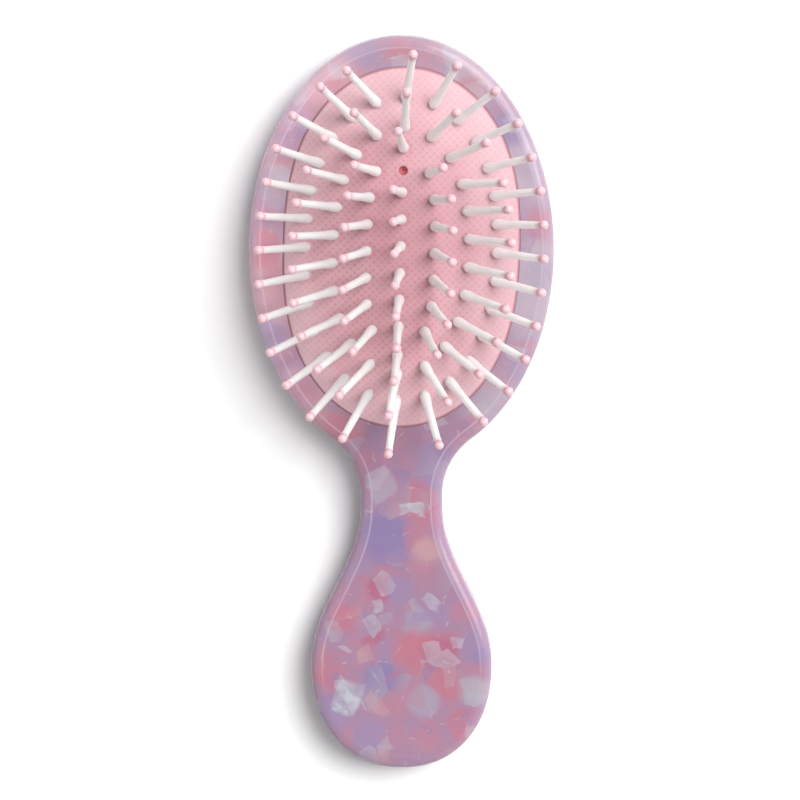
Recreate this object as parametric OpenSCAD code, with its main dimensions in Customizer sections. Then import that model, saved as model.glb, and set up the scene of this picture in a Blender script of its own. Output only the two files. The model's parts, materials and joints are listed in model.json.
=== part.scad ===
// Vanity hairbrush: a moulded acetate board with a teardrop handle, an air cushion of
// thin rubber snapped into a pocket in the head, and 72 nylon pins with ball tips.
// Millimetres. +Z up, +Y towards the head. The board lies on its back at z = 0, and the
// origin is the middle of that back face, halfway along the board.

/* [Board] */
// Length of the whole board
board_length = 146; // [140:1:154]
// Thickness of the board
board_thick = 9.5; // [9:0.5:11]
// Width of the head
head_width = 60.2; // [58:0.2:63]
// Length of the full oval that the head is part of
head_length = 84.4; // [82:0.2:86]
// Width of the neck
neck_width = 16.2; // [14:0.2:19]
// Radius of the hollow curve between the head and the neck
neck_fillet = 14; // [11:0.5:16]
// Width of the handle's bulb
bulb_width = 36; // [32:0.5:40]
// Length from the bulb's widest place to the end of the handle
bulb_end = 21; // [19:0.5:23]
// Squareness of the handle's end, where 2 is an ellipse
bulb_power = 2.2; // [2:0.1:2.6]
// How far the rounded front edge reaches in from the outline
front_round = 2.4; // [2:0.2:3.6]
// How far the rounded front edge reaches down from the face
front_drop = 2.4; // [2:0.2:4]
// Depth of the straight slope that starts at the face, as part of that
front_slope = 0.3; // [0:0.1:1.2]
// Squareness of the curve that the slope runs into, where 2 is round
edge_power = 3; // [2:0.1:4]
// How far the rounded back edge reaches in from the outline
back_round = 2.5; // [2:0.5:3]

/* [Cushion] */
// Width of the cushion where it leaves the board
pad_width = 46.4; // [45:0.2:48]
// Length of the cushion where it leaves the board
pad_length = 71; // [69:0.5:73]
// Fullness of the cushion's ends, where 2 is an ellipse
pad_power = 2.5; // [2:0.1:3]
// Height of the crown above the board
pad_crown = 9; // [7:0.5:10]
// Thickness of the rubber
rubber = 1.6; // [1.2:0.1:2]
// Clockwise turn, in degrees, with which the pad and its pocket sit in the head
pad_turn = 1.7; // [0:0.1:3]
// Diameter of the vent hole
vent_d = 1.8; // [1.2:0.1:2.4]

/* [Pins] */
// Length of a pin from the rubber to the centre of its ball
pin_length = 15.8; // [14:0.2:17]
// Diameter of a pin below its ball
pin_d = 1.4; // [1.2:0.1:1.6]
// Diameter of the flare at a pin's foot
flare_d = 2.1; // [2:0.1:2.6]
// Diameter of the ball tip
ball_d = 1.8; // [1.7:0.1:2.2]
// Spacing along the centre row
row_pitch = 5.2; // [5:0.1:5.4]
// Sideways lean of the centre row at the pad's middle, in degrees
row_lean = -3.6; // [-5:0.1:0]
// What that lean gains for each millimetre towards the front, in degrees
row_twist = -0.22; // [-0.3:0.01:0]
// Sideways lean of the third ring at its widest place, in degrees
inner_lean = 15; // [12:0.5:18]
// Forward lean of the centre row and third ring for each millimetre, in degrees
row_fan = 0.64; // [0.5:0.01:0.8]
// How far a pin may stand off its nominal lean, in degrees
scatter = 0.5; // [0:0.5:3]

/* [Hidden] */
// Each ring of pins: name, half width, half length, fullness, pins a side, pairs of pins
// at its ends that mirror each other front to back, gap beside the centre line compared
// with the other gaps, and lean at the side and at the ends in degrees. The third ring
// leans with the centre row, so its last two are not set.
RINGS = [
    ["outer",  18.25, 29.35, 2.5, 13, 4, 1.0, 36.3, 37],
    ["second", 12.85, 23.8,  2.4, 10, 3, 1.0, 31.8, 27],
    ["third",   6.4,  20.0,  3.6,  7, 1, 1.4],
];
// Pins that stand off the rule: ring, pin counted from the front, side, and how much more
// it leans to the right and to the front, as a slope
BENT = [
    [0, 0, 1, 0.08, 0], [0, 1, -1, -0.16, -0.14], [0, 2, 1, 0.06, 0.04],
    [0, 13, 1, -0.1, 0], [0, 13, -1, -0.07, 0.05], [0, 14, 1, -0.12, 0],
    [1, 0, 1, 0, 0.07], [1, 1, -1, 0, -0.07], [1, 3, 1, 0.03, -0.1],
    [1, 10, -1, -0.11, 0.06], [1, 11, 1, -0.12, 0],
    [2, 0, 1, -0.04, 0.08], [2, 1, -1, -0.05, 0],
];
SIDES = [["right", 1], ["left", -1]];
row_count = 6;                          // pins in the centre row
row_first_y = 11.6;                     // its front pin, from the pad's middle
row_still_y = 2;                        // where its forward lean is nil
inner_shift = -1.6;                     // by which the whole third ring leans left, in degrees
ring_shift = [0.026, 0.01];             // slope by which the other rings lean right and front
vent_y = 15.8;                          // the vent, between that pin and the third ring

head_y = board_length / 2 - head_length / 2;            // middle of the head's oval
pad_y = head_y + 0.6;                                   // middle of the pad
bulb_y = -board_length / 2 + bulb_end;                  // bulb's widest place
handle_y = -20.5;                                       // where the neck starts to widen
pocket_floor = 2.5;
groove = [5.2, 7.6];                    // bottom and top of the groove in the pocket wall
groove_depth = 1.1;
gap = 0.15;                             // between the rubber and the board
hole_gap = 0.08;                        // round a pin's neck in the rubber
tip_fit = 0.02;                         // round a pin's end in its ball
round_steps = 5;
ring_steps = 48;                        // places in each ring's table of lengths
loop_steps = 96;                        // points round the pad

// A ring's groups of pins, each a list of positions counted from the front of one side.
// Mirrored pairs come first, then the pins along the side.
function groups(ring) = concat(
    [for (i = [1 : ring[5]]) [i, ring[4] + 1 - i]],
    [[for (i = [ring[5] + 1 : ring[4] - ring[5]]) i]]);
function group_name(ring, k) = k < ring[5] ? str("pair_", k + 1) : "side";
GROUP_NAMES = concat(
    [for (ring = RINGS) for (side = SIDES) for (k = [0 : ring[5]])
        str(ring[0], "_", side[0], "_", group_name(ring, k))],
    [for (ring = RINGS) str(ring[0], "_ends")],
    ["centre_row"]);
$fn = 32;

// ---- outline of the board ----

function unit(v) = v / norm(v);
function head_point(t) = [head_width / 2 * sin(t), head_y + head_length / 2 * cos(t)];
function head_normal(t) = unit([sin(t) / head_width, cos(t) / head_length]);
function fillet_centre(t) = head_point(t) + neck_fillet * head_normal(t);
// Angle at which the hollow curve touches both the head's oval and the neck's side
function touch_angle(lo = 90, hi = 179, n = 24) =
    let (mid = (lo + hi) / 2)
    n == 0 ? mid
    : fillet_centre(mid)[0] > neck_width / 2 + neck_fillet ? touch_angle(mid, hi, n - 1)
    : touch_angle(lo, mid, n - 1);
touch = touch_angle();
fillet = fillet_centre(touch);
fillet_start = atan2(-head_normal(touch)[1], -head_normal(touch)[0]);

// One side of the outline, from the front of the head to the end of the handle
head_side = [for (i = [0 : 33]) head_point(touch * i / 33)];
fillet_side = [for (i = [1 : 8])
    let (a = fillet_start + (180 - fillet_start) * i / 8)
    fillet + neck_fillet * [cos(a), sin(a)]];
handle_side = [for (i = [0 : 16])
    let (s = i / 16)
    [neck_width / 2 + (bulb_width - neck_width) / 4 * (1 - cos(180 * s)),
     handle_y + (bulb_y - handle_y) * s]];
end_side = [for (i = [1 : 12])
    let (a = 90 * i / 12)
    [bulb_width / 2 * pow(cos(a), 2 / bulb_power),
     bulb_y - bulb_end * pow(sin(a), 2 / bulb_power)]];
side = concat(head_side, fillet_side, handle_side, end_side);
// The last point lies on the centre line, and so does the first, so neither is repeated
outline = concat(side, [for (i = [len(side) - 2 : -1 : 1]) [-side[i][0], side[i][1]]]);

// A closed clockwise loop of points moved inwards by d
function inset(loop, d) = [for (i = [0 : len(loop) - 1])
    let (n = len(loop), along = unit(loop[(i + 1) % n] - loop[(i + n - 1) % n]))
    loop[i] + d * [along[1], -along[0]]];
function at_height(loop, z) = [for (p = loop) [p[0], p[1], z]];

// Solid through a stack of insets of the board's outline, from the bottom up. Each end is
// closed by a ladder of faces between the two sides, so it stays inside the neck.
module board_skin(loops) {
    n = len(outline);
    last = (len(loops) - 1) * n;
    bands = [for (k = [0 : len(loops) - 2]) for (i = [0 : n - 1])
        let (a = k * n + i, b = k * n + (i + 1) % n)
        each [[a, b, b + n], [a, b + n, a + n]]];
    rungs = len(side) - 2;
    ladder = concat(
        [[0, 1, n - 1]],
        [for (i = [1 : rungs - 1]) [i, i + 1, n - i - 1, n - i]],
        [[rungs, rungs + 1, n - rungs]]);
    bottom = [for (face = ladder) [for (i = [len(face) - 1 : -1 : 0]) face[i]]];
    top = [for (face = ladder) [for (i = face) last + i]];
    polyhedron(points = [for (loop = loops) each loop], faces = concat(bands, bottom, top));
}

// ---- the pad's frame and surface ----

module on_pad() {
    translate([0, pad_y, 0]) rotate([0, 0, -pad_turn]) children();
}

function signed_pow(v, p) = sign(v) * pow(abs(v), p);
// Point at angle t of the oval that holds a share q of the pad, from 0 in the middle to 1
function pad_point(q, t, w = pad_width, l = pad_length) = [
    w / 2 * sqrt(q) * cos(t),
    l / 2 * pow(q, 1 / pad_power) * signed_pow(sin(t), 2 / pad_power)];
function pad_loop(q, grow = 0) = [for (i = [0 : loop_steps - 1])
    pad_point(q, -360 * i / loop_steps, pad_width + 2 * grow, pad_length + 2 * grow)];
function pad_share(x, y) = pow(2 * abs(x) / pad_width, 2) + pow(2 * abs(y) / pad_length, pad_power);
function pad_height(x, y) = board_thick + pad_crown * (1 - pad_share(x, y));

// ---- places and leans of the pins ----

// Quarter turn of a ring's oval, from the centre line at the front to the side
function ring_curve(ring, t) = [
    ring[1] * sin(t), ring[2] * signed_pow(cos(t), 2 / ring[3])];
ring_angles = [for (i = [0 : ring_steps]) 180 * i / ring_steps];
function lengths(points, i = 0, sum = 0, out = []) =
    i == len(points) ? out
    : let (s = sum + (i == 0 ? 0 : norm(points[i] - points[i - 1])))
      lengths(points, i + 1, s, concat(out, [s]));
function ring_table(ring, axis) =
    let (points = [for (t = ring_angles) ring_curve(ring, t)], s = lengths(points))
    [for (i = [0 : ring_steps]) [s[i] / s[ring_steps], points[i][axis]]];
ring_x = [for (ring = RINGS) ring_table(ring, 0)];
ring_y = [for (ring = RINGS) ring_table(ring, 1)];
// Share of the way round one side at which pin i stands, 0 and pins + 1 being the ends
function ring_share(ring, i) =
    let (whole = ring[4] - 1 + 2 * ring[6])
    i == 0 ? 0 : i == ring[4] + 1 ? 1 : (ring[6] + i - 1) / whole;

// Small turn of one pin off its nominal lean
function stray(x, y, phase) = scatter * sin(phase + 197 * x + 131 * y);
function fan(y) = tan(row_fan * (y - row_still_y));
// Slope, to the right and to the front, of a pin in one of the two outer rings or the third
function outer_slope(ring, x, y) =
    let (out = unit([x / pow(ring[1], 2), y / pow(ring[2], 2)]),
         lean = ring[7] * pow(out[0], 2) + ring[8] * pow(out[1], 2))
    tan(lean + stray(x, y, 0)) * out + ring_shift;
function inner_slope(ring, x, y) = [tan(inner_lean * x / ring[1] + inner_shift), fan(y)];
function bend(r, i, hand) =
    let (own = [for (b = BENT) if (b[0] == r && b[1] == i && b[2] == hand) [b[3], b[4]]])
    len(own) > 0 ? own[0] : [0, 0];
// A pin: where it leaves the rubber, its lean and the direction it leans in
function pin_at(x, y, slope) =
    [[x, y, pad_height(x, y)], atan(norm(slope)), atan2(slope[1], slope[0])];
function ring_pin(r, i, hand) =
    let (ring = RINGS[r], s = ring_share(ring, i),
         x = hand * lookup(s, ring_x[r]), y = lookup(s, ring_y[r]),
         slope = r == 2 ? inner_slope(ring, x, y) : outer_slope(ring, x, y))
    pin_at(x, y, slope + bend(r, i, hand));
function row_pin(k) =
    let (y = row_first_y - row_pitch * k)
    pin_at(0, y, [tan(row_lean + row_twist * y), fan(y)]);

GROUPS = concat(
    [for (r = [0 : 2]) for (side = SIDES) for (list = groups(RINGS[r]))
        [for (i = list) ring_pin(r, i, side[1])]],
    [for (r = [0 : 2]) [ring_pin(r, 0, 1), ring_pin(r, RINGS[r][4] + 1, 1)]],
    [[for (k = [0 : row_count - 1]) row_pin(k)]]);

module at_pin(pin) {
    translate(pin[0]) rotate([0, pin[1], pin[2]]) children();
}

// ---- one pin and one tip, standing on the rubber at z = 0 ----

flare_z = 1;                            // the flare's widest place
taper_z = 5.4;                          // where the flare has run out
foot_z = 0.3;                           // underside of the flare
shaft_d = 1.6;                          // just above the flare
head_d = 2.6;                           // the head that holds the pin under the rubber
head_z = -3.2;
head_thick = 0.6;
ball_skirt = 1.4;                       // how far the tip's coat reaches below its centre

// Radius of the pin at height z of its flare
function flare_r(z) = z < flare_z
    ? flare_d / 2 * sqrt(1 - pow((flare_z - z) / (flare_z + 0.1), 2))
    : shaft_d / 2 + (flare_d - shaft_d) / 4 * (1 + cos(180 * (z - flare_z) / (taper_z - flare_z)));

module pin() {
    end_z = pin_length - 0.2;
    coat_z = pin_length - ball_skirt - 0.4;
    flare = [for (i = [0 : 3]) foot_z + (flare_z - foot_z) * i / 4];
    taper = [for (i = [0 : 7]) flare_z + (taper_z - flare_z) * i / 7];
    rotate_extrude() polygon(concat(
        [[0, head_z], [head_d / 2 - 0.3, head_z], [head_d / 2, head_z + 0.3],
         [head_d / 2, head_z + head_thick], [pin_d / 2, head_z + head_thick],
         [pin_d / 2, foot_z]],
        [for (z = concat(flare, taper)) [flare_r(z), z]],
        [[pin_d / 2, coat_z], [pin_d / 2, end_z], [0, end_z]]));
}

module tip() {
    coat_d = pin_d + 0.3;
    difference() {
        union() {
            translate([0, 0, pin_length]) sphere(d = ball_d);
            translate([0, 0, pin_length - ball_skirt]) cylinder(d = coat_d, h = ball_skirt);
        }
        translate([0, 0, pin_length - ball_skirt - 1])
            cylinder(d = pin_d + 2 * tip_fit, h = ball_skirt + 0.8 + tip_fit);
    }
}

// ---- the sub-parts ----

module pocket() {
    oval = pad_loop(1, gap);
    translate([0, 0, pocket_floor]) linear_extrude(board_thick) polygon(oval);
    translate([0, 0, groove[0]]) linear_extrude(groove[1] - groove[0])
        polygon(pad_loop(1, gap + groove_depth));
}

module board() {
    back = [for (i = [0 : round_steps]) let (a = 90 * i / round_steps)
        at_height(inset(outline, back_round * (1 - sin(a))), back_round * (1 - cos(a)))];
    front = [for (i = [0 : round_steps]) let (a = 90 * i / round_steps, p = 2 / edge_power)
        at_height(inset(outline, front_round * (1 - pow(cos(a), p))),
                  board_thick - front_slope * pow(cos(a), p)
                  - (front_drop - front_slope) * (1 - pow(sin(a), p)))];
    color([0.78, 0.62, 0.74]) difference() {
        board_skin(concat(back, front));
        on_pad() pocket();
    }
}

// Closed shell: down over the crown, round the snap-in bead and up under the crown
module rubber_shell() {
    shares = [0.05, 0.15, 0.3, 0.45, 0.6, 0.75, 0.88, 0.96];
    inner = -rubber;
    lip_z = board_thick - rubber;
    under = pad_crown;
    crown = [for (q = shares) at_height(pad_loop(q), board_thick + pad_crown * (1 - q))];
    rim = [
        at_height(pad_loop(1), board_thick),
        at_height(pad_loop(1), groove[1] - gap),
        at_height(pad_loop(1, groove_depth - gap), groove[1] - gap),
        at_height(pad_loop(1, groove_depth - gap), groove[0] + gap),
        at_height(pad_loop(1, inner), groove[0] + gap)];
    hollow = [for (i = [len(shares) : -1 : 0]) let (q = i == len(shares) ? 1 : shares[i])
        at_height(pad_loop(q, inner), lip_z + under * (1 - q))];
    loops = concat(crown, rim, hollow);
    n = loop_steps;
    count = len(loops);
    top = count * n;
    bands = [for (k = [0 : count - 2]) for (i = [0 : n - 1])
        let (a = k * n + i, b = k * n + (i + 1) % n)
        each [[a, b + n, b], [a, a + n, b + n]]];
    caps = [for (i = [0 : n - 1])
        let (j = (i + 1) % n, base = (count - 1) * n)
        each [[top, i, j], [top + 1, base + j, base + i]]];
    polyhedron(
        points = concat([for (loop = loops) each loop],
                        [[0, 0, board_thick + pad_crown], [0, 0, lip_z + under]]),
        faces = concat(bands, caps));
}

module cushion() {
    color([0.89, 0.66, 0.71]) on_pad() difference() {
        rubber_shell();
        for (group = GROUPS) for (pin = group)
            at_pin(pin) translate([0, 0, -4]) cylinder(d = pin_d + 2 * hole_gap, h = 6);
        translate([0, vent_y, board_thick]) cylinder(d = vent_d, h = pad_crown);
    }
}

module pins(group) {
    color([0.93, 0.91, 0.9]) on_pad() for (p = group) at_pin(p) pin();
}

module tips(group) {
    color([0.96, 0.72, 0.77]) on_pad() for (p = group) at_pin(p) tip();
}

board();
cushion();
for (g = [0 : len(GROUP_NAMES) - 1]) {
    pins(GROUPS[g]);
    tips(GROUPS[g]);
}
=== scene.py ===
"""Looks of a small air-cushion hairbrush: a marbled acetate board, a dimpled rubber pad and
nylon pins with dipped ball tips. Shapes are worked out in millimetres, in the frame's axes,
and turned into metres when a mesh is made."""

import json
import math

import bmesh
import bpy
import numpy as np
from mathutils import Matrix, Vector
from mathutils.geometry import delaunay_2d_cdt

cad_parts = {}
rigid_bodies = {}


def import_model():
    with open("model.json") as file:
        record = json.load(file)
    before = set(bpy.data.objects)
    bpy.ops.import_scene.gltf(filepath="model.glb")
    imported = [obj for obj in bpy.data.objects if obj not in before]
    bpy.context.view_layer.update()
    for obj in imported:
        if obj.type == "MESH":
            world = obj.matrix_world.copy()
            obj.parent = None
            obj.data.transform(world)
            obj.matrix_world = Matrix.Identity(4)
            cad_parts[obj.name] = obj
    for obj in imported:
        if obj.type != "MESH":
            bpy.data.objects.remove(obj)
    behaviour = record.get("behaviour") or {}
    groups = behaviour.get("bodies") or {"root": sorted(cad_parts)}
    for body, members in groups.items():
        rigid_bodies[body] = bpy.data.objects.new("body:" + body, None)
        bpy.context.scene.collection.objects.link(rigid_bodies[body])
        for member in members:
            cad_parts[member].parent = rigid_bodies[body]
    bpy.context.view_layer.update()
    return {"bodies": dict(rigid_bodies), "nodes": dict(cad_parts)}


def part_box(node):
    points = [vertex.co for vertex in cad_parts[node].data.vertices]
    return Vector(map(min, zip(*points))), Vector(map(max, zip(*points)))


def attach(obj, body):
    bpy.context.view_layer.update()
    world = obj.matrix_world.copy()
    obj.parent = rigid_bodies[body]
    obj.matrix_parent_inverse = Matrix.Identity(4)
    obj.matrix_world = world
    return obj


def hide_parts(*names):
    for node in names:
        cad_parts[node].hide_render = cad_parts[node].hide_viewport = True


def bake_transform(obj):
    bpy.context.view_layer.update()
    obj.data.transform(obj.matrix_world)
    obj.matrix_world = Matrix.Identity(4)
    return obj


MM = 0.001

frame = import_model()

# ---- sizes that the frame gives ----

board_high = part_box("board")[1] / MM
HALF_HEAD = board_high.x
HALF_LENGTH = board_high.y
FRONT = board_high.z                    # height of the board's front face
GROUPS = [name for name in frame["bodies"] if name not in ("board", "cushion")]

# ---- the design's own sizes, as in the CAD ----

HEAD_HALF_LENGTH = 42.2
HEAD_Y = HALF_LENGTH - HEAD_HALF_LENGTH
NECK_HALF = 8.1
NECK_FILLET = 14.0
HANDLE_Y = -20.5                        # where the neck starts to widen
BULB_HALF = 18.0
BULB_END = 21.0
BULB_Y = BULB_END - HALF_LENGTH
BULB_POWER = 2.2
FRONT_ROUND = 2.4                       # width of the rounded front edge
FRONT_DROP = 2.4                        # its whole depth
FRONT_SLOPE = 0.3                       # the part of that depth that is a straight slope
EDGE_POWER = 3.0                        # squareness of its curve
BACK_ROUND = 2.5
CREASE = 0.12                           # share of the edge's width over which the slope sets in
FLAT_RIM = 0.15                         # beside a rounded edge, to keep a flat face flat in shading

PAD_HALF_WIDTH = 23.2
PAD_HALF_LENGTH = 35.5
PAD_POWER = 2.5
PAD_Y = HEAD_Y + 0.6
PAD_TURN = math.radians(-1.7)
CROWN = 9.0
RUBBER = 1.6
POCKET_FLOOR = 2.5
GROOVE = (5.2, 7.6)
GROOVE_DEPTH = 1.1
GAP = 0.15
VENT = (0.0, 15.8)                      # in the pad's own frame
VENT_R = 0.9
VENT_LIP = 0.1
PINHOLE_R = 0.16                        # which the vent narrows to, below its mouth
FOOT_DENT = 0.16                        # of the rubber round each foot
DIMPLE = 0.74                           # between rows of dimples, which are staggered
DIMPLE_DEPTH = 0.025
GRID = 0.25                             # step of the pad's mesh

PIN_HEAD_Z = -3.2                       # from here on z counts along a pin, from the rubber
PIN_HEAD_R = 1.3
PIN_HEAD_THICK = 0.6
PIN_LENGTH = 15.8
PIN_R = 0.7
FLARE_R = 1.05
FLARE_Z = 1.0
FOOT_Z = 0.3
TAPER_Z = 5.4
SHAFT_R = 0.8
COAT_Z = 14.4                           # where the pink coat of the tip begins
BALL_R = 0.9


# ---- meshes ----

def make_piece(name, points, faces, sharp=40):
    """A smooth-shaded mesh object from points in millimetres, crisp at edges over sharp degrees."""
    mesh = bpy.data.meshes.new(name)
    mesh.from_pydata((np.asarray(points, float) * MM).tolist(), [], faces)
    mesh.polygons.foreach_set("use_smooth", [True] * len(mesh.polygons))
    mesh.set_sharp_from_angle(angle=math.radians(sharp))
    piece = bpy.data.objects.new(name, mesh)
    bpy.context.scene.collection.objects.link(piece)
    return piece


def bands(starts, n, flip=False):
    """Quads between loops of n points each, given the number of each loop's first point."""
    i = np.arange(n)
    j = (i + 1) % n
    out = []
    for a, b in zip(starts, starts[1:]):
        quad = [a + i, a + j, b + j, b + i]
        out.append(np.stack(quad[::-1] if flip else quad, 1))
    return np.concatenate(out).tolist()


def at_height(loop, z):
    return np.column_stack([loop, np.full(len(loop), z)])


def inside(loop, points):
    """Whether each point lies inside a closed loop."""
    a, b = loop, np.roll(loop, -1, 0)
    x, y = points[:, :1], points[:, 1:]
    crosses = (a[:, 1] > y) != (b[:, 1] > y)
    rise = np.where(b[:, 1] == a[:, 1], 1, b[:, 1] - a[:, 1])
    at = a[:, 0] + (y - a[:, 1]) / rise * (b[:, 0] - a[:, 0])
    return (crosses & (x < at)).sum(1) % 2 == 1


def fill(points, edges, wanted):
    """Triangles over flat points that keep the given edges, where wanted says so of a centre."""
    found = delaunay_2d_cdt([Vector(p) for p in points], edges, [], 0, 1e-7)
    number = np.array([same[0] for same in found[3]])
    faces = number[np.array(found[2])]
    corners = np.asarray(points, float)[faces]
    keep = wanted(corners.mean(1))
    faces, corners = faces[keep], corners[keep]
    ab, ac = corners[:, 1] - corners[:, 0], corners[:, 2] - corners[:, 0]
    clockwise = ab[:, 0] * ac[:, 1] < ab[:, 1] * ac[:, 0]
    faces[clockwise] = faces[clockwise][:, ::-1]
    return faces


def loop_edges(start, n):
    return [(start + i, start + (i + 1) % n) for i in range(n)]


def smooth(v, low, high):
    """0 below low and 1 above high, with a soft step between."""
    t = np.clip((v - low) / (high - low), 0, 1)
    return t * t * (3 - 2 * t)


# ---- the board ----

def head_normal(t):
    """Outward direction at angle t on the head's oval, from its front."""
    n = np.array([math.sin(t) / HALF_HEAD, math.cos(t) / HEAD_HALF_LENGTH])
    return n / np.linalg.norm(n)


def fillet_centre(t):
    """Centre of a hollow curve of the neck that touches the head's oval at angle t."""
    p = np.array([HALF_HEAD * math.sin(t), HEAD_Y + HEAD_HALF_LENGTH * math.cos(t)])
    return p + NECK_FILLET * head_normal(t)


def touch_angle():
    """Angle on the head's oval where the hollow curve of the neck touches it."""
    low, high = math.pi / 2, math.pi
    for _ in range(40):
        mid = (low + high) / 2
        if fillet_centre(mid)[0] > NECK_HALF + NECK_FILLET:
            low = mid
        else:
            high = mid
    return low


def even_points(line, count):
    """count + 1 points at equal steps along a line of points."""
    length = np.r_[0, np.cumsum(np.linalg.norm(np.diff(line, axis=0), axis=1))]
    even = np.linspace(0, length[-1], count + 1)
    return np.stack([np.interp(even, length, line[:, k]) for k in (0, 1)], 1)


def board_outline(count):
    """Clockwise outline of the board from the front of the head, with count points a side."""
    touch = touch_angle()
    t = np.linspace(0, touch, 300)
    head = np.stack([HALF_HEAD * np.sin(t), HEAD_Y + HEAD_HALF_LENGTH * np.cos(t)], 1)
    n = head_normal(touch)
    a = np.linspace(math.atan2(-n[1], -n[0]), math.pi, 80)[1:]
    fillet = fillet_centre(touch) + NECK_FILLET * np.stack([np.cos(a), np.sin(a)], 1)
    s = np.linspace(0, 1, 120)
    half = NECK_HALF + (BULB_HALF - NECK_HALF) / 2 * (1 - np.cos(np.pi * s))
    handle = np.stack([half, HANDLE_Y + (BULB_Y - HANDLE_Y) * s], 1)
    b = np.linspace(0, math.pi / 2, 160)[1:]
    end = np.stack([BULB_HALF * np.clip(np.cos(b), 0, 1) ** (2 / BULB_POWER),
                    BULB_Y - BULB_END * np.sin(b) ** (2 / BULB_POWER)], 1)
    side = even_points(np.concatenate([head, fillet, handle, end]), count)
    side[0, 0] = side[-1, 0] = 0
    return np.concatenate([side, side[-2:0:-1] * (-1, 1)])


def inset(loop, d):
    """A clockwise loop, moved inward by d."""
    along = np.roll(loop, -1, 0) - np.roll(loop, 1, 0)
    along /= np.linalg.norm(along, axis=1)[:, None]
    return loop + d * np.stack([along[:, 1], -along[:, 0]], 1)


def turned(points, back=False):
    """Points of the pad's own frame, in the frame of the whole brush, or the other way back."""
    c, s = math.cos(PAD_TURN), math.sin(PAD_TURN)
    out = np.array(points, float)
    shift = np.zeros(out.shape[1])
    shift[1] = PAD_Y
    turn = np.eye(out.shape[1])
    turn[:2, :2] = [[c, -s], [s, c]]
    return (out - shift) @ turn if back else out @ turn.T + shift


def pad_oval(n, grow=0.0):
    """Clockwise loop of n points round the pad, in its own frame."""
    t = np.linspace(0, 2 * math.pi, 4001)
    y = np.cos(t)
    oval = np.stack([(PAD_HALF_WIDTH + grow) * np.sin(t),
                     (PAD_HALF_LENGTH + grow) * np.sign(y) * np.abs(y) ** (2 / PAD_POWER)], 1)
    return even_points(oval, n)[:-1]


def front_edge():
    """Steps across the rounded front edge, from the flat face outward: shares of its width, and
    depths. They are even in width over the slope and the start of the curve, then even in angle."""
    share = np.r_[np.linspace(0, 0.4, 9)[:-1], np.linspace(0.4, 0.9, 8)]
    turn = np.arcsin(share ** (EDGE_POWER / 2))
    turn = np.r_[turn, np.linspace(turn[-1], math.pi / 2, 8)[1:]]
    share = np.sin(turn) ** (2 / EDGE_POWER)
    slope = FRONT_SLOPE * (np.hypot(share, CREASE) - CREASE)
    curve = 1 - np.clip(np.cos(turn), 0, 1) ** (2 / EDGE_POWER)
    return share, slope + (FRONT_DROP - FRONT_SLOPE) * curve


def build_board():
    """Closed solid with rounded edges and an undercut pocket. The attribute "inward" is a point's
    distance in from the outline along the front edge, 0 round the sides and back."""
    side_points = 330
    pocket_points = 440
    round_steps = 16
    bevel = 0.12                        # at the pocket's mouth
    n = 2 * side_points
    outline = board_outline(side_points)
    quarter = np.linspace(0, math.pi / 2, round_steps + 1)
    back = [at_height(inset(outline, BACK_ROUND + FLAT_RIM), 0)]
    back += [at_height(inset(outline, BACK_ROUND * (1 - math.sin(a))), BACK_ROUND * (1 - math.cos(a)))
             for a in quarter]
    steps = [(FRONT_ROUND * (1 - share), FRONT - depth) for share, depth in zip(*front_edge())][::-1]
    steps += [(FRONT_ROUND + FLAT_RIM, FRONT)]
    outer = back + [at_height(inset(outline, d), z) for d, z in steps]
    faces = bands(range(0, len(outer) * n, n), n, flip=True)

    # Back face
    under = outer[0][:, :2]
    faces += fill(under, loop_edges(0, n), lambda p: inside(under, p))[:, ::-1].tolist()

    # Pocket: a narrow rim and bevel at its mouth, the wall with its groove, and the floor
    m = pocket_points
    levels = [(bevel + FLAT_RIM, FRONT)]
    levels += [(bevel * (1 - math.sin(a)), FRONT - bevel * (1 - math.cos(a)))
               for a in np.linspace(0, math.pi / 2, 5)]
    levels += [(0, GROOVE[1]), (GROOVE_DEPTH, GROOVE[1]), (GROOVE_DEPTH, GROOVE[0]),
               (0, GROOVE[0]), (0, POCKET_FLOOR)]
    pocket = [turned(at_height(pad_oval(m, GAP + grow), z)) for grow, z in levels]
    first = len(outer) * n
    floor = first + (len(pocket) - 1) * m
    faces += bands(range(first, floor + m, m), m, flip=True)
    faces += [[floor + i, floor + (i + 1) % m, floor + m - i - 2, floor + m - i - 1][::-1]
              for i in range(m // 2 - 1)]

    # Front face, between the rounded edge and the pocket's mouth
    rim, mouth = outer[-1][:, :2], pocket[0][:, :2]
    face = fill(np.concatenate([rim, mouth]), loop_edges(0, n) + loop_edges(n, m),
                lambda p: inside(rim, p) & ~inside(mouth, p))
    faces += np.where(face < n, face + (len(outer) - 1) * n, face - n + first).tolist()
    piece = make_piece("acetate_board", np.concatenate(outer + pocket), faces)

    past_edge = FRONT_ROUND + 1
    inward = [0.0] * len(back) + [d for d, z in steps[:-1]] + [past_edge]
    inward = np.r_[np.repeat(inward, n), np.full(len(pocket) * m, past_edge)]
    piece.data.attributes.new("inward", "FLOAT", "POINT").data.foreach_set("value", inward)
    return piece


# ---- the rubber pad ----

def pad_share(x, y, shrink=0.0):
    """0 in the middle of the pad and 1 on its edge."""
    return ((np.abs(x) / (PAD_HALF_WIDTH - shrink)) ** 2
            + (np.abs(y) / (PAD_HALF_LENGTH - shrink)) ** PAD_POWER)


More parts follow.
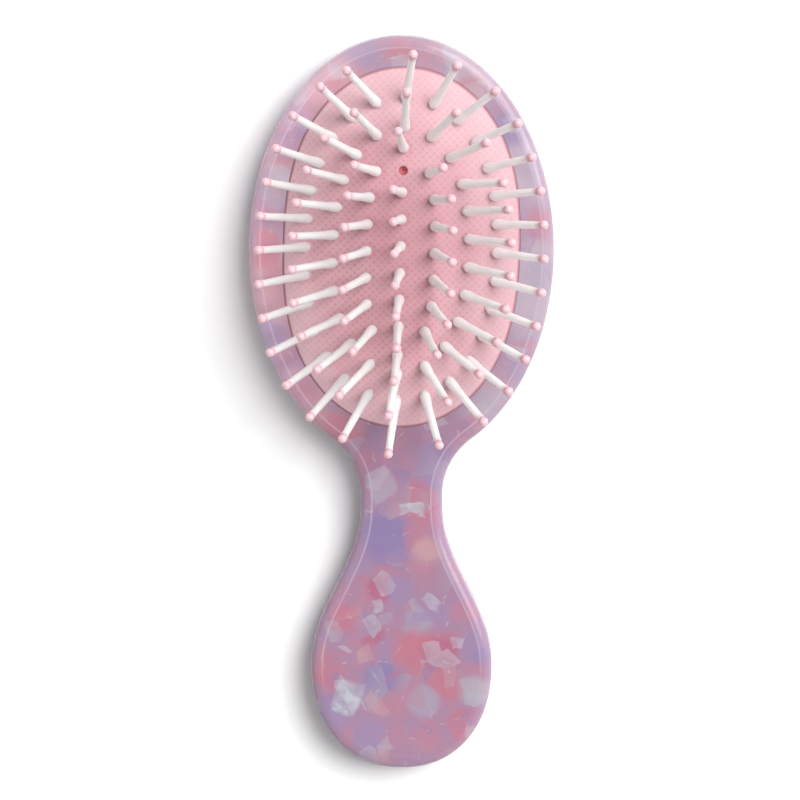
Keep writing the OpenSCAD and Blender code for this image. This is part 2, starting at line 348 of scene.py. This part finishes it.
def rubber_height(x, y, feet):
    """Outer face of the rubber: the crown, a dent at each foot, the vent's lip and the dimples."""
    share = pad_share(x, y)
    foot = np.min(np.hypot(x[:, None] - feet[:, 0], y[:, None] - feet[:, 1]), axis=1)
    dent = FOOT_DENT * (1 - smooth(foot, 0.9, 1.9))
    vent = np.hypot(x - VENT[0], y - VENT[1])
    lip = VENT_LIP * np.exp(-((vent - VENT_R - 0.35) / 0.25) ** 2)
    wave = np.cos(x * math.pi / DIMPLE) * np.cos(y * math.pi / DIMPLE)
    dimple = DIMPLE_DEPTH * smooth(wave, -0.2, 0.9) * (1 - smooth(share, 0.8, 0.95))
    dimple *= smooth(vent, VENT_R + 0.4, VENT_R + 1.0)
    return FRONT + CROWN * (1 - share) - dent + lip - dimple


def crown_grid():
    """Fine square grid over the pad, stopping short of its edge and its vent: flat points, quads,
    and a function that says which flat points lie under the quads."""
    across = int(PAD_HALF_WIDTH / GRID) + 1
    along = int(PAD_HALF_LENGTH / GRID) + 1
    gx, gy = np.meshgrid(np.arange(-across, across + 1) * GRID, np.arange(-along, along + 1) * GRID)
    good = (pad_share(gx, gy) < 0.985) & (np.hypot(gx - VENT[0], gy - VENT[1]) > VENT_R + 0.5)
    cell = good[:-1, :-1] & good[1:, :-1] & good[:-1, 1:] & good[1:, 1:]
    number = np.arange(gx.size).reshape(gx.shape)
    corner = np.stack([number[:-1, :-1], number[:-1, 1:], number[1:, 1:], number[1:, :-1]], -1)
    quads = corner[cell]
    used = np.unique(quads)
    renumber = np.full(gx.size, -1)
    renumber[used] = np.arange(len(used))

    def covered(p):
        i = np.clip(((p[:, 0] / GRID) + across).astype(int), 0, 2 * across - 1)
        j = np.clip(((p[:, 1] / GRID) + along).astype(int), 0, 2 * along - 1)
        return cell[j, i]

    return np.stack([gx.ravel()[used], gy.ravel()[used]], 1), renumber[quads], covered


def build_cushion(feet):
    """Closed shell of rubber: a fine grid over the crown, the snap-in bead, and the underside."""
    rim_points = 480
    vent_points = 40
    under_points = 80
    grid, quads, covered = crown_grid()

    # Triangles from the grid's stepped borders to the pad's edge and to the vent
    pairs = np.concatenate([quads[:, [k, (k + 1) % 4]] for k in range(4)])
    keys, count = np.unique(np.sort(pairs, 1), axis=0, return_counts=True)
    border = keys[count == 1]
    step_points = np.unique(border)
    back_to = {p: i for i, p in enumerate(step_points)}
    turn = np.linspace(0, 2 * math.pi, vent_points, endpoint=False)
    circle = np.stack([np.sin(turn), np.cos(turn)], 1)
    rings = [np.array(VENT) + (VENT_R + out) * circle for out in (0, 0.1, 0.25, 0.4)]
    rim = pad_oval(rim_points)
    flat = np.concatenate([grid[step_points], rim, *rings])
    after_steps = len(step_points)
    edges = [(back_to[p], back_to[q]) for p, q in border.tolist()]
    edges += loop_edges(after_steps, rim_points)
    edges += loop_edges(after_steps + rim_points, vent_points)
    ring_faces = fill(flat, edges, lambda p: inside(rim, p) & ~inside(rings[0], p) & ~covered(p))
    first_rim = len(grid)
    first_vent = first_rim + rim_points
    names = np.r_[step_points, first_rim + np.arange(len(flat) - after_steps)]
    faces = quads.tolist() + names[ring_faces].tolist()
    top = np.concatenate([grid, flat[after_steps:]])
    points = [np.column_stack([top, rubber_height(top[:, 0], top[:, 1], feet)])]

    # Down the edge and round the bead
    bead = GROOVE_DEPTH - GAP
    levels = [(0.02, FRONT - 0.1), (0.12, FRONT - 0.14), (0.12, FRONT - 0.8), (0, FRONT - 1.0),
              (0, GROOVE[1] - GAP), (bead, GROOVE[1] - GAP), (bead, GROOVE[0] + GAP),
              (-RUBBER, GROOVE[0] + GAP), (-RUBBER, FRONT - RUBBER)]
    loops = [at_height(pad_oval(rim_points, grow), z) for grow, z in levels]
    points += loops
    starts = [len(top) + k * rim_points for k in range(len(loops))]
    faces += bands([first_rim] + starts, rim_points)

    # Underside, down to the vent's pinhole
    first_under = starts[-1] + rim_points
    shares = (0.05, 0.15, 0.3, 0.45, 0.6, 0.75, 0.88, 0.96)
    inner = pad_oval(under_points, -RUBBER)
    low = np.concatenate([inner * (math.sqrt(q), q ** (1 / PAD_POWER)) for q in shares] + [[[0.0, 0.0]]])
    low = low[np.hypot(low[:, 0] - VENT[0], low[:, 1] - VENT[1]) > VENT_R + 0.6]
    lip = loops[-1][:, :2]
    pinhole = np.array(VENT) + PINHOLE_R * circle
    below = np.concatenate([pinhole, low])
    edges = loop_edges(0, rim_points) + loop_edges(rim_points, vent_points)
    under = fill(np.concatenate([lip, below]), edges, lambda p: inside(lip, p) & ~inside(pinhole, p))
    names = np.r_[starts[-1] + np.arange(rim_points), first_under + np.arange(len(below))]
    faces += names[under][:, ::-1].tolist()
    height = FRONT - RUBBER + CROWN * (1 - pad_share(below[:, 0], below[:, 1], RUBBER))
    points.append(np.column_stack([below, height]))

    # The vent, a funnel from its mouth down to the pinhole
    mouth = points[0][first_vent:first_vent + vent_points, 2]
    depth = [(VENT_R, 0.15), (0.75, 0.5), (PINHOLE_R, 0.8)]
    points += [np.column_stack([np.array(VENT) + r * circle, mouth - z]) for r, z in depth]
    throat = first_under + len(below)
    funnel = [throat + k * vent_points for k in range(len(depth))]
    faces += bands([first_vent] + funnel + [first_under], vent_points, flip=True)
    return make_piece("rubber_cushion", turned(np.concatenate(points)), faces, sharp=50)


# ---- pins and tips ----

def pins_of(node):
    """Foot point and direction of each pin in a CAD node, from its separate solids."""
    end = 0.05                          # depth of the layer of points that marks a pin's end
    solids = bmesh.new()
    solids.from_mesh(frame["nodes"][node].data)
    bmesh.ops.remove_doubles(solids, verts=solids.verts, dist=0.001 * MM)
    left = set(solids.verts)
    found = []
    while left:
        solid = [left.pop()]
        for vert in solid:
            for edge in vert.link_edges:
                other = edge.other_vert(vert)
                if other in left:
                    left.remove(other)
                    solid.append(other)
        points = np.array([vert.co for vert in solid]) / MM
        middle = points.mean(0)
        axis = np.linalg.svd(points - middle, full_matrices=False)[2][0]
        axis *= math.copysign(1, axis[2])
        t = (points - middle) @ axis
        low = points[t < t.min() + end].mean(0)
        high = points[t > t.max() - end].mean(0)
        axis = (high - low) / np.linalg.norm(high - low)
        found.append((low - PIN_HEAD_Z * axis, axis))
    solids.free()
    return sorted(found, key=lambda pin: tuple(pin[0]))


def flare_radius(z):
    """Radius of a pin from its foot to its shaft."""
    below = FLARE_R * np.sqrt(np.clip(1 - ((FLARE_Z - z) / (FLARE_Z + 0.1)) ** 2, 0, 1))
    sway = (1 + np.cos(np.pi * (z - FLARE_Z) / (TAPER_Z - FLARE_Z))) / 2
    return np.where(z < FLARE_Z, below, SHAFT_R + (FLARE_R - SHAFT_R) * sway)


def pin_profile():
    """(radius, height) from the head under the rubber, up the flared foot, to the pin's end."""
    head = [(0, 0), (PIN_HEAD_R - 0.3, 0), (PIN_HEAD_R - 0.08, 0.08), (PIN_HEAD_R, 0.3),
            (PIN_HEAD_R, PIN_HEAD_THICK - 0.1), (PIN_HEAD_R - 0.08, PIN_HEAD_THICK),
            (PIN_R, PIN_HEAD_THICK)]
    head = [(r, PIN_HEAD_Z + z) for r, z in head] + [(PIN_R, FOOT_Z - 0.05)]
    heights = np.r_[np.linspace(FOOT_Z, FLARE_Z, 7)[:-1], np.linspace(FLARE_Z, TAPER_Z, 16)]
    foot = list(zip(flare_radius(heights), heights))
    end = PIN_LENGTH - 0.2
    return head + foot + [(PIN_R + 0.04, 11.0), (PIN_R, COAT_Z), (PIN_R, end), (0, end)]


def tip_profile():
    """(radius, height) of the dipped tip: a thin skirt on the shaft that swells into the ball."""
    socket = PIN_R + 0.02
    top = PIN_LENGTH - 0.18
    join = 2.1                          # angle, from the top, where the neck meets the ball
    skirt = [(socket, COAT_Z - 0.1), (socket + 0.05, COAT_Z - 0.05), (socket + 0.07, COAT_Z + 0.1),
             (socket + 0.055, COAT_Z + 0.35)]
    neck = (max(BALL_R * math.sin(join), socket + 0.06), PIN_LENGTH + BALL_R * math.cos(join))
    ball = [(BALL_R * math.sin(a), PIN_LENGTH + BALL_R * math.cos(a))
            for a in np.linspace(join - 0.15, 0, 14)[:-1]]
    return [(0, top), (socket, top)] + skirt + [neck] + ball + [(0, PIN_LENGTH + BALL_R)]


def build_lathed(name, pins, profile, sides):
    """One object with a turned solid for each pin. Both ends of the profile are on the axis. The
    attribute "along" is a point's height along its pin."""
    turn = np.linspace(0, 2 * math.pi, sides, endpoint=False)
    circle = np.stack([np.cos(turn), np.sin(turn), np.zeros(sides)], 1)
    inner = profile[1:-1]
    local = np.concatenate([circle * r + (0, 0, z) for r, z in inner]
                           + [[(0, 0, profile[0][1])], [(0, 0, profile[-1][1])]])
    solid = bands(range(0, len(inner) * sides, sides), sides)
    first, last = len(local) - 2, len(local) - 1
    final = (len(inner) - 1) * sides
    solid += [[first, (i + 1) % sides, i] for i in range(sides)]
    solid += [[last, final + i, final + (i + 1) % sides] for i in range(sides)]
    points, faces = [], []
    for k, (foot, axis) in enumerate(pins):
        spin = np.array(Vector((0, 0, 1)).rotation_difference(Vector(axis)).to_matrix())
        points.append(local @ spin.T + foot)
        faces += [[i + k * len(local) for i in face] for face in solid]
    piece = make_piece(name, np.concatenate(points), faces)
    along = piece.data.attributes.new("along", "FLOAT", "POINT")
    along.data.foreach_set("value", np.tile(local[:, 2], len(pins)))
    return piece


# ---- materials ----

class Graph:
    """A material's node tree. An input is a number, a colour, a vector or another node's output."""

    def __init__(self, name):
        self.material = bpy.data.materials.new(name)
        self.material.use_nodes = True
        self.nodes = self.material.node_tree.nodes
        self.links = self.material.node_tree.links
        self.shader = self.nodes["Principled BSDF"]
        self.place = self.add("ShaderNodeTexCoord", {}).outputs["Object"]

    def put(self, socket, value):
        if isinstance(value, bpy.types.NodeSocket):
            self.links.new(value, socket)
        elif socket.type == "RGBA":
            socket.default_value = (*value, 1)
        else:
            socket.default_value = value

    def add(self, kind, inputs, **settings):
        node = self.nodes.new(kind)
        for name, value in settings.items():
            setattr(node, name, value)
        for name, value in inputs.items():
            self.put(node.inputs[name], value)
        return node

    def finish(self, **inputs):
        for name, value in inputs.items():
            self.put(self.shader.inputs[name.replace("_", " ")], value)
        return self.material

    def math(self, operation, *values):
        return self.add("ShaderNodeMath", dict(enumerate(values)), operation=operation).outputs[0]

    def vector(self, operation, *values):
        node = self.add("ShaderNodeVectorMath", {}, operation=operation)
        for i, value in enumerate(values):
            self.put(node.inputs["Scale" if operation == "SCALE" and i == 1 else i], value)
        return node.outputs["Value" if operation in ("DISTANCE", "DOT_PRODUCT") else 0]

    def split(self, vector):
        return tuple(self.add("ShaderNodeSeparateXYZ", {0: vector}).outputs)

    def attribute(self, name):
        return self.add("ShaderNodeAttribute", {}, attribute_name=name).outputs["Fac"]

    def mapped(self, vector, location, rotation, scale=(1, 1, 1)):
        """A place, as it reads in a frame that has this location, rotation and scale."""
        inputs = {"Vector": vector, "Location": location, "Rotation": rotation, "Scale": scale}
        return self.add("ShaderNodeMapping", inputs, vector_type="TEXTURE").outputs[0]

    def mix(self, factor, a, b):
        return self.add("ShaderNodeMix", {0: factor, 6: a, 7: b}, data_type="RGBA").outputs[2]

    def range(self, value, low, high, to_low=0.0, to_high=1.0):
        """A soft step from to_low to to_high, as the value goes from low to high."""
        inputs = {"Value": value, "From Min": low, "From Max": high,
                  "To Min": to_low, "To Max": to_high}
        return self.add("ShaderNodeMapRange", inputs, interpolation_type="SMOOTHSTEP").outputs[0]

    def noise(self, size, at=None, detail=2.0, rough=0.5):
        """Noise with features of about size millimetres."""
        inputs = {"Vector": at or self.place, "Scale": 1 / (size * MM),
                  "Detail": detail, "Roughness": rough}
        return self.add("ShaderNodeTexNoise", inputs)

    def cells(self, size, at=None, feature="F1"):
        inputs = {"Vector": at or self.place, "Scale": 1 / (size * MM)}
        return self.add("ShaderNodeTexVoronoi", inputs, feature=feature)

    def warp(self, size, amount, detail=2.0):
        """The place, pushed about by up to amount millimetres."""
        noise = self.noise(size, detail=detail).outputs["Color"]
        cloud = self.vector("SUBTRACT", noise, (0.5, 0.5, 0.5))
        return self.vector("ADD", self.place, self.vector("SCALE", cloud, 2 * amount * MM))

    def ramp(self, value, colours, interpolation="LINEAR"):
        node = self.add("ShaderNodeValToRGB", {"Fac": value})
        node.color_ramp.interpolation = interpolation
        stops = node.color_ramp.elements
        for i, colour in enumerate(colours):
            at = i / len(colours) if interpolation == "CONSTANT" else i / (len(colours) - 1)
            stop = stops[i] if i < 2 else stops.new(at)
            stop.position = at
            stop.color = (*colour, 1)
        return node.outputs["Color"]

    def bump(self, height, distance, strength=1.0):
        inputs = {"Height": height, "Distance": distance * MM, "Strength": strength}
        return self.add("ShaderNodeBump", inputs).outputs[0]


def shade(red, green, blue, lit=0.68):
    """The linear colour of these 0-255 screen values, times lit, which leaves room for the light of
    the stage."""
    return tuple(lit * (c / 255 / 12.92 if c <= 10 else ((c / 255 + 0.055) / 1.055) ** 2.4)
                 for c in (red, green, blue))


VIOLET = shade(152, 136, 184)
LILAC = shade(172, 148, 186)
GREY_LILAC = shade(182, 170, 192)
MAUVE = shade(184, 143, 171)
ROSE = shade(200, 140, 162)
CORAL = shade(208, 130, 148)
PEACH = shade(214, 170, 172)
PEARL = shade(212, 212, 222)
FOG = shade(192, 182, 196)
BLUSH = shade(212, 160, 170)
# Grey-lilac, partly the acetate's tint and partly painted sheen from the key light on the right
MIST_AND_SHEEN = shade(200, 186, 202)
SHELL = shade(206, 198, 212)
RASPBERRY = shade(194, 114, 144)

# Soft clouds of colour in the board: place, reach and colour. The grey-lilac clouds on the right of the
# head are partly the acetate's own tint and partly painted sheen from the key light.
CLOUDS = [
    (-14, 66, 12, BLUSH), (-25, 50, 10, BLUSH), (-29, 24, 16, BLUSH), (-20, -2, 10, BLUSH),
    (12, 67, 11, MIST_AND_SHEEN), (26, 48, 12, MIST_AND_SHEEN), (28, 24, 15, MIST_AND_SHEEN), (20, -2, 10, MIST_AND_SHEEN),
    (0, 70, 5, CORAL), (-8, 70, 5, LILAC), (14, 62, 4, CORAL), (21, 55, 5, VIOLET),
    (-22, 52, 5, MAUVE), (-24, 43, 5, GREY_LILAC), (-28, 30, 5, CORAL), (27, 36, 4, CORAL),
    (28, 26, 5, GREY_LILAC), (-26, 14, 5, LILAC), (-20, 2, 5, ROSE), (24, 8, 5, LILAC),
    (-12, -6, 6, CORAL), (14, -5, 5, ROSE), (2, -8, 7, MAUVE), (6, -12, 6, LILAC),
    (-6, -13, 5, ROSE), (4, -19, 5, CORAL), (-3, -26, 8, VIOLET), (4, -26, 5, ROSE),
    (5.5, -29, 4, PEACH), (-4.5, -36.5, 3.5, RASPBERRY), (8, -35.5, 5, MAUVE), (0, -36.5, 3.5, LILAC),
    (-11, -43, 5, CORAL), (3, -43.5, 4, GREY_LILAC), (12.5, -41, 4, ROSE), (-6, -45.5, 3.5, RASPBERRY),
    (3, -49.5, 6, CORAL), (8, -50, 5, RASPBERRY), (-14.5, -52.5, 5, CORAL), (-4, -54.5, 5, VIOLET),
    (15, -48.5, 4.5, LILAC), (9, -56, 5, CORAL), (15, -57, 4.5, FOG), (-14, -62, 5, LILAC),
    (4.5, -59.5, 4, GREY_LILAC), (12.5, -64, 4.5, CORAL), (-6, -66, 4.5, LILAC), (5, -66.5, 4, ROSE),
    (-1, -70, 4, MAUVE),
]

FLAKE_DEPTH = 2.5

# Flakes that lie at the front face: place, half width, half length, turn in degrees, colour
FLAKES = [
    (-10.8, -58.4, 2.9, 3.6, -18, PEARL), (-5, -60, 1.3, 2.8, 45, PEACH),
    (-7.5, -50, 1.8, 1.4, 20, PEACH), (2, -20.5, 2.8, 1.3, -5, PEARL),
    (-4, -16, 2.8, 2.4, 30, FOG), (5, -41, 2.8, 2.4, 0, LILAC),
    (11, -47.5, 1.1, 1.5, 0, SHELL), (-5, -40, 1.1, 1.5, 10, SHELL),
    (6, -39.5, 2.2, 1.2, -30, SHELL), (14, -56, 2.0, 2.0, 20, FOG),
    (-13.5, -45, 1.4, 2.2, 10, FOG), (-3.5, -68.5, 1.8, 1.4, 30, FOG),
]


def add_clouds(g, loose):
    """Soft ground of noise, with the clouds over it."""
    colour = g.ramp(g.noise(9, loose).outputs["Fac"], [VIOLET, LILAC, MAUVE, ROSE, LILAC])
    for x, y, reach, tint in CLOUDS:
        away = g.vector("DISTANCE", loose, (x * MM, y * MM, FRONT * MM))
        colour = g.mix(g.range(away, reach * MM, 0.4 * reach * MM, 0.0, 0.85), colour, tint)
    return colour


def add_tilted_flakes(g, colour, crisp):
    """Cells that each fade out to one side, like flakes that dip away from the face."""
    for size, least, strength, tints in (
            (6.5, 0.45, 0.5, [VIOLET, LILAC, GREY_LILAC, ROSE, CORAL, MAUVE, LILAC]),
            (4.2, 0.6, 0.4, [LILAC, PEACH, ROSE, GREY_LILAC, VIOLET, CORAL])):
        flake = g.cells(size, crisp)
        chance = g.add("ShaderNodeSeparateColor", {"Color": flake.outputs["Color"]}).outputs
        lean = g.vector("SUBTRACT", flake.outputs["Color"], (0.5, 0.5, 0.5))
        off = g.vector("SUBTRACT", crisp, flake.outputs["Position"])
        slope = g.vector("DOT_PRODUCT", off, g.vector("NORMALIZE", lean))
        near = g.range(slope, -0.4 * size * MM, 0.45 * size * MM, 0.0, strength)
        near = g.math("MULTIPLY", near, g.math("GREATER_THAN", chance[0], least))
        colour = g.mix(near, colour, g.ramp(chance[1], tints, "CONSTANT"))
    return colour


def add_chips(g, colour, crisp):
    """Random pearly chips, and the flakes at the front face. Both are crinkled inside."""
    crinkle = g.noise(2.6, g.warp(2.5, 1.6), rough=0.6).outputs["Fac"]
    pearl = g.ramp(crinkle, [shade(170, 172, 188), shade(190, 190, 204), PEARL, shade(226, 226, 234)])
    chip = g.cells(3.4, crisp)
    chance = g.add("ShaderNodeSeparateColor", {"Color": chip.outputs["Color"]}).outputs
    colour = g.mix(g.range(chance[2], 0.9, 0.96, 0.0, 0.4), colour, pearl)

    ragged = g.warp(3.2, 1.3, detail=0.5)
    uneven = g.range(crinkle, 0.35, 0.6, 0.6, 1.0)
    for x, y, half_width, half_length, turn, tint in FLAKES:
        spot = g.mapped(ragged, (x * MM, y * MM, FRONT * MM), (0, 0, math.radians(turn)),
                        (half_width * MM, half_length * MM, FLAKE_DEPTH * MM))
        sides = g.split(g.vector("ABSOLUTE", spot))
        away = g.math("MAXIMUM", g.math("MAXIMUM", sides[0], sides[1]), sides[2])
        mask = g.math("MULTIPLY", g.range(away, 1.08, 0.75, 0.0, 0.85 if tint is PEARL else 0.6), uneven)
        colour = g.mix(mask, colour, pearl if tint is PEARL else tint)
    return colour


def add_glints(g, colour, crisp):
    """Painted glints: bright hairlines along some of the flakes' edges, where they catch the light."""
    edge = g.cells(4.2, crisp, "DISTANCE_TO_EDGE").outputs["Distance"]
    some = g.range(g.noise(2.2).outputs["Fac"], 0.58, 0.72)
    glint = g.math("MULTIPLY", g.range(edge, 0.05, 0.01), some)
    return g.mix(g.math("MULTIPLY", glint, 0.4), colour, shade(222, 214, 226))


def add_edge(g, colour):
    """Painted light towards the rounded front edge, and a painted highlight line where that edge begins,
    fading out towards the bulb's end.
    """
    inward = g.attribute("inward")
    # Painted light on the rounded edge, brighter outward, against the shade of its slope
    thin = g.range(inward, FRONT_ROUND, 0.3 * FRONT_ROUND, 0.0, 0.3)
    colour = g.mix(thin, colour, shade(214, 192, 212))
    # Painted highlight: a line where the rounded edge begins, fading out towards the bulb's end
    off = g.math("ABSOLUTE", g.math("SUBTRACT", inward, FRONT_ROUND - 0.1))
    y = g.split(g.place)[1]
    crease_highlight = g.math("MULTIPLY", g.range(off, 0.35, 0.1, 0.0, 0.4), g.range(y, -60 * MM, -45 * MM))
    return g.mix(crease_highlight, colour, shade(220, 204, 226))


def acetate():
    """Translucent sheet, pressed from tinted flakes: clouds, tilted flakes and pearly chips, with
    painted glints, painted light and a painted highlight along the front edge, and painted light on the
    head's left side.
    """
    g = Graph("marbled_acetate")
    crisp = g.warp(1.6, 0.35)
    colour = add_clouds(g, g.warp(5, 1.8))
    colour = add_tilted_flakes(g, colour, crisp)
    colour = add_chips(g, colour, crisp)
    colour = add_glints(g, colour, crisp)
    colour = add_edge(g, colour)

    # The head is paler than the handle, and its left side has painted light, to even out the key light
    # from the right
    x, y = g.split(g.place)[:2]
    head = g.range(y, -12 * MM, 6 * MM)
    painted_light_gain = g.math("MULTIPLY", g.range(x, -4 * MM, -22 * MM, 0.0, 0.7), head)
    colour = g.vector("SCALE", colour, g.math("ADD", painted_light_gain, 1.0))
    colour = g.mix(g.math("MULTIPLY", head, 0.22), colour, shade(222, 206, 214))

    polish = g.range(g.noise(3, detail=4.0).outputs["Fac"], 0.3, 0.7, 0.14, 0.22)
    ripple = g.bump(g.noise(7, detail=1.0).outputs["Fac"], 0.05)
    return g.finish(Base_Color=colour, Roughness=polish, Normal=ripple, IOR=1.48,
                    Subsurface_Weight=0.3, Subsurface_Radius=(1.0, 0.6, 0.8),
                    Subsurface_Scale=2 * MM, Specular_IOR_Level=0.25,
                    Coat_Weight=0.08, Coat_Roughness=0.08)


def rubber():
    """Matt pink rubber, with painted shade in the dimples, at the rim and in the vent."""
    g = Graph("dimpled_rubber")
    pad_x, pad_y = g.split(g.mapped(g.place, (0, PAD_Y * MM, 0), (0, 0, PAD_TURN)))[:2]
    waves = [g.math("COSINE", g.math("MULTIPLY", v, math.pi / (DIMPLE * MM))) for v in (pad_x, pad_y)]
    dimple = g.range(g.math("MULTIPLY", *waves), 0.0, 0.85)

    # Shares of the pad's half width and half length, and the square of the distance they make
    x, y, z = g.split(g.place)
    x = g.math("MULTIPLY", x, 1 / (PAD_HALF_WIDTH * MM))
    y = g.math("SUBTRACT", g.math("MULTIPLY", y, 1 / (PAD_HALF_LENGTH * MM)), PAD_Y / PAD_HALF_LENGTH)
    out = g.math("ADD", g.math("MULTIPLY", x, x), g.math("MULTIPLY", y, y))

    # Paler, greyer pink in random clouds, and towards the edge, where it is painted sheen
    cloud = g.noise(16).outputs["Fac"]
    fade = g.math("ADD", g.math("MULTIPLY", out, 0.7), g.math("MULTIPLY", cloud, 0.8))
    colour = g.mix(g.range(fade, 0.35, 1.1), shade(214, 158, 168, 0.88), shade(220, 180, 187, 0.9))

    # Brighter outward, and to the left and the handle, to even out the key light
    tilt = g.math("ADD", g.math("MULTIPLY", x, 0.24), g.math("MULTIPLY", y, 0.12))
    painted_light_gain = g.math("DIVIDE", g.math("ADD", g.math("MULTIPLY", out, 0.38), 0.87), g.math("ADD", tilt, 1.0))
    colour = g.vector("SCALE", colour, painted_light_gain)

    # Painted shade in the dimples and at the rim, where the rubber goes down into the gap beside the
    # board
    rim = g.range(z, (FRONT + 0.3) * MM, (FRONT + 0.05) * MM, 0.0, 0.7)
    dimple_shade = g.math("MULTIPLY", dimple, g.range(out, 0.0, 0.8, 0.4, 0.15))
    colour = g.mix(g.math("MAXIMUM", dimple_shade, rim), colour, shade(196, 118, 132, 0.8))
    # Painted shade in the vent, over its mouth and walls
    flat = g.add("ShaderNodeCombineXYZ", {0: pad_x, 1: pad_y}).outputs[0]
    from_vent = g.vector("DISTANCE", flat, (VENT[0] * MM, VENT[1] * MM, 0))
    vent = g.range(from_vent, (VENT_R + 0.1) * MM, (VENT_R - 0.1) * MM)
    colour = g.mix(vent, colour, shade(190, 98, 104, 0.9))
    grain = g.bump(g.noise(0.4).outputs["Fac"], 0.02, 0.5)
    return g.finish(Base_Color=colour, Roughness=0.6, IOR=1.5, Normal=grain,
                    Subsurface_Weight=0.35, Subsurface_Radius=(1.0, 0.4, 0.4),
                    Subsurface_Scale=1.2 * MM)


def nylon():
    """Cloudy white nylon, with painted light and shade: brighter to the right, darker to the left."""
    g = Graph("white_nylon")
    colour = g.mix(g.noise(2.5).outputs["Fac"], shade(222, 220, 219, 1.0), shade(230, 229, 228, 1.0))
    # Painted light and shade, brighter to the right
    painted_light_gain = g.math("ADD", g.math("MULTIPLY", g.split(g.place)[0], 0.005 / MM), 1.0)
    colour = g.vector("SCALE", colour, painted_light_gain)
    grain = g.bump(g.noise(0.3).outputs["Fac"], 0.01, 0.4)
    return g.finish(Base_Color=colour, Roughness=0.4, IOR=1.53, Normal=grain,
                    Subsurface_Weight=0.9, Subsurface_Radius=(1.0, 0.96, 0.94),
                    Subsurface_Scale=2.0 * MM)


def dipped_tip():
    """Pink coat that thins out down the shaft."""
    g = Graph("dipped_tip")
    along = g.attribute("along")
    ball = g.mix(g.noise(0.8).outputs["Fac"], shade(244, 194, 203, 0.84), shade(250, 208, 215, 0.84))
    thick = g.range(along, COAT_Z - 0.1, COAT_Z + 0.9)
    colour = g.mix(thick, shade(244, 216, 219, 1.1), ball)
    deep = g.range(along, COAT_Z + 0.5, COAT_Z + 0.9, 0.0, 0.5)
    return g.finish(Base_Color=colour, Roughness=0.3, IOR=1.5,
                    Subsurface_Weight=deep, Subsurface_Radius=(1.0, 0.6, 0.6),
                    Subsurface_Scale=1.0 * MM)


def paint(piece, material):
    piece.data.materials.clear()
    piece.data.materials.append(material)


# ---- stage, light and camera ----

def build_stage():
    """White floor, a hair below the board's back."""
    half = 4000.0
    z = -0.05
    points = [(-half, -half, z), (half, -half, z), (half, half, z), (-half, half, z)]
    floor = make_piece("floor", points, [[0, 1, 2, 3]])
    g = Graph("floor_white")
    paint(floor, g.finish(Base_Color=(0.9, 0.9, 0.9), Roughness=0.9, Specular_IOR_Level=0.0))


def build_key():
    """Round softbox above and to the right of the brush."""
    light = bpy.data.lights.new("key", "SUN")
    light.energy = 3.8
    light.angle = math.radians(44)
    lamp = bpy.data.objects.new("key", light)
    lamp.rotation_euler = Vector((0.5, 0.36, 0.79)).to_track_quat("Z", "Y").to_euler()
    bpy.context.scene.collection.objects.link(lamp)


def build_sky():
    """White room with a ring of light overhead, which draws a line along rounded edges. The camera
    sees plain white instead."""
    world = bpy.data.worlds.new("studio")
    world.use_nodes = True
    bpy.context.scene.world = world
    nodes, links = world.node_tree.nodes, world.node_tree.links
    place = nodes.new("ShaderNodeTexCoord")
    split = nodes.new("ShaderNodeSeparateXYZ")
    links.new(place.outputs["Generated"], split.inputs[0])
    ramp = nodes.new("ShaderNodeValToRGB")
    room, ring, top = 0.27, 2.2, 0.35
    stops = [(0.0, room), (0.92, room), (0.945, ring), (0.972, ring), (0.985, top), (1.0, top)]
    for i, (at, value) in enumerate(stops):
        stop = ramp.color_ramp.elements[i] if i < 2 else ramp.color_ramp.elements.new(at)
        stop.position = at
        stop.color = (value, value, value, 1)
    links.new(split.outputs["Z"], ramp.inputs["Fac"])
    path = nodes.new("ShaderNodeLightPath")
    seen = nodes.new("ShaderNodeMix")
    seen.data_type = "RGBA"
    links.new(path.outputs["Is Camera Ray"], seen.inputs[0])
    links.new(ramp.outputs["Color"], seen.inputs[6])
    seen.inputs[7].default_value = (1, 1, 1, 1)
    links.new(seen.outputs[2], nodes["Background"].inputs["Color"])


def build_camera():
    """Long lens, almost straight above the brush and a little towards its head."""
    place = Vector((11.8, 112.7, 909.5)) * MM
    target = Vector((-0.3, 0.8, 6.0)) * MM
    ahead = (target - place).normalized()
    right = ahead.cross(Vector((0, 1, 0))).normalized()
    above = right.cross(ahead)
    turn = Matrix((right, above, -ahead)).transposed().to_4x4()
    camera = bpy.data.objects.new("camera", bpy.data.cameras.new("camera"))
    camera.data.lens = 206.6
    camera.data.sensor_width = 36
    camera.matrix_world = Matrix.Translation(place) @ turn
    bpy.context.scene.collection.objects.link(camera)
    bpy.context.scene.camera = camera


# ---- the brush ----

board = build_board()
paint(board, acetate())
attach(board, "board")
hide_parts("board")

pins = {group: pins_of("pins_" + group) for group in GROUPS}
feet = turned([foot for group in GROUPS for foot, axis in pins[group]], back=True)
cushion = build_cushion(feet)
paint(cushion, rubber())
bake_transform(cushion)
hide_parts("cushion")

shaft_material = nylon()
tip_material = dipped_tip()
for group in GROUPS:
    for name, node, profile, material, slot in (
            ("nylon", "pins", pin_profile(), shaft_material, "nylon"),
            ("balls", "tips", tip_profile(), tip_material, "tip_coat")):
        piece = build_lathed(name + "_" + group, pins[group], profile, 28)
        paint(piece, material)
        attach(piece, group)
        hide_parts(node + "_" + group)

build_stage()
build_key()
build_sky()
build_camera()
bpy.context.scene.view_settings.view_transform = "Standard"
